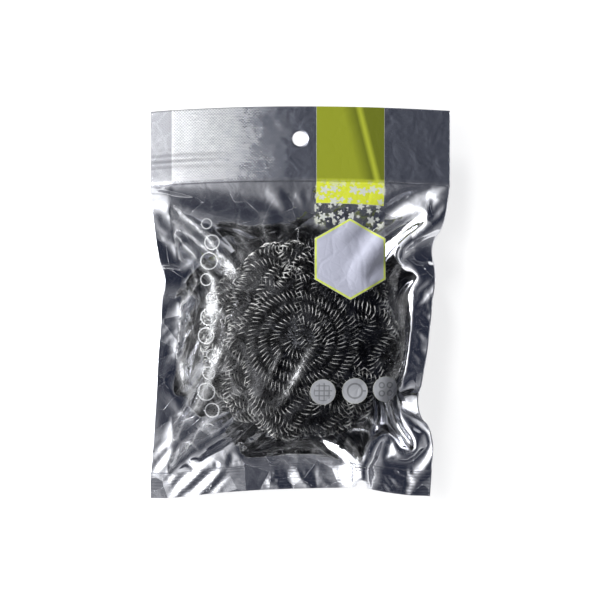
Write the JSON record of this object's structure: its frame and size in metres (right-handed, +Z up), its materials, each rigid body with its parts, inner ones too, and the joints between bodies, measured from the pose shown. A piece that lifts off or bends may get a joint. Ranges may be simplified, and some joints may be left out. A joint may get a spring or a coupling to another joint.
{
  "type": "pot scrubber in hang bag",
  "caption": "Curly stainless wire pot scrubber wound into a flat ball, sealed in a clear-front foil-back hang bag with a punched header.",
  "frame": {"origin": "on the table, under the middle of the bag, which lies on its back", "axes": "+X right as the front is seen, +Y towards the hang hole, +Z up out of the front film"},
  "size_m": [0.12, 0.155, 0.0312],
  "materials": {
    "clear_film": "clear glossy film, printed in places",
    "foil_film": "metallised film, mirror bright",
    "steel_wire": "bright flat stainless wire"
  },
  "bodies": {
    "pouch": {"front_film": "clear_film", "back_film": "foil_film", "left_seal_front_ply": "clear_film", "left_seal_back_ply": "foil_film", "right_seal_front_ply": "clear_film", "right_seal_back_ply": "foil_film"},
    "header": {"header_front_ply": "clear_film", "header_back_ply": "foil_film"},
    "bottom_flap": {"bottom_seal_front_ply": "clear_film", "bottom_seal_back_ply": "foil_film"},
    "scrubber": {"front_rosette": "steel_wire", "outer_winding": "steel_wire", "middle_winding": "steel_wire", "core_winding": "steel_wire"}
  },
  "joints": [
    {"name": "header_fold", "type": "hinge", "parent": "pouch", "child": "header", "pos_m": [0, 0.0475, 0.013], "axis": [1, 0, 0], "range_deg": [-120, 100], "stiffness_Nm_per_rad": 0.004},
    {"name": "bottom_fold", "type": "hinge", "parent": "pouch", "child": "bottom_flap", "pos_m": [0, -0.0675, 0.013], "axis": [-1, 0, 0], "range_deg": [-120, 90], "stiffness_Nm_per_rad": 0.004},
    {"name": "scrubber_shift", "type": "slide", "parent": "pouch", "child": "scrubber", "axis": [0, 1, 0], "range_m": [0, 0.006]}
  ]
}
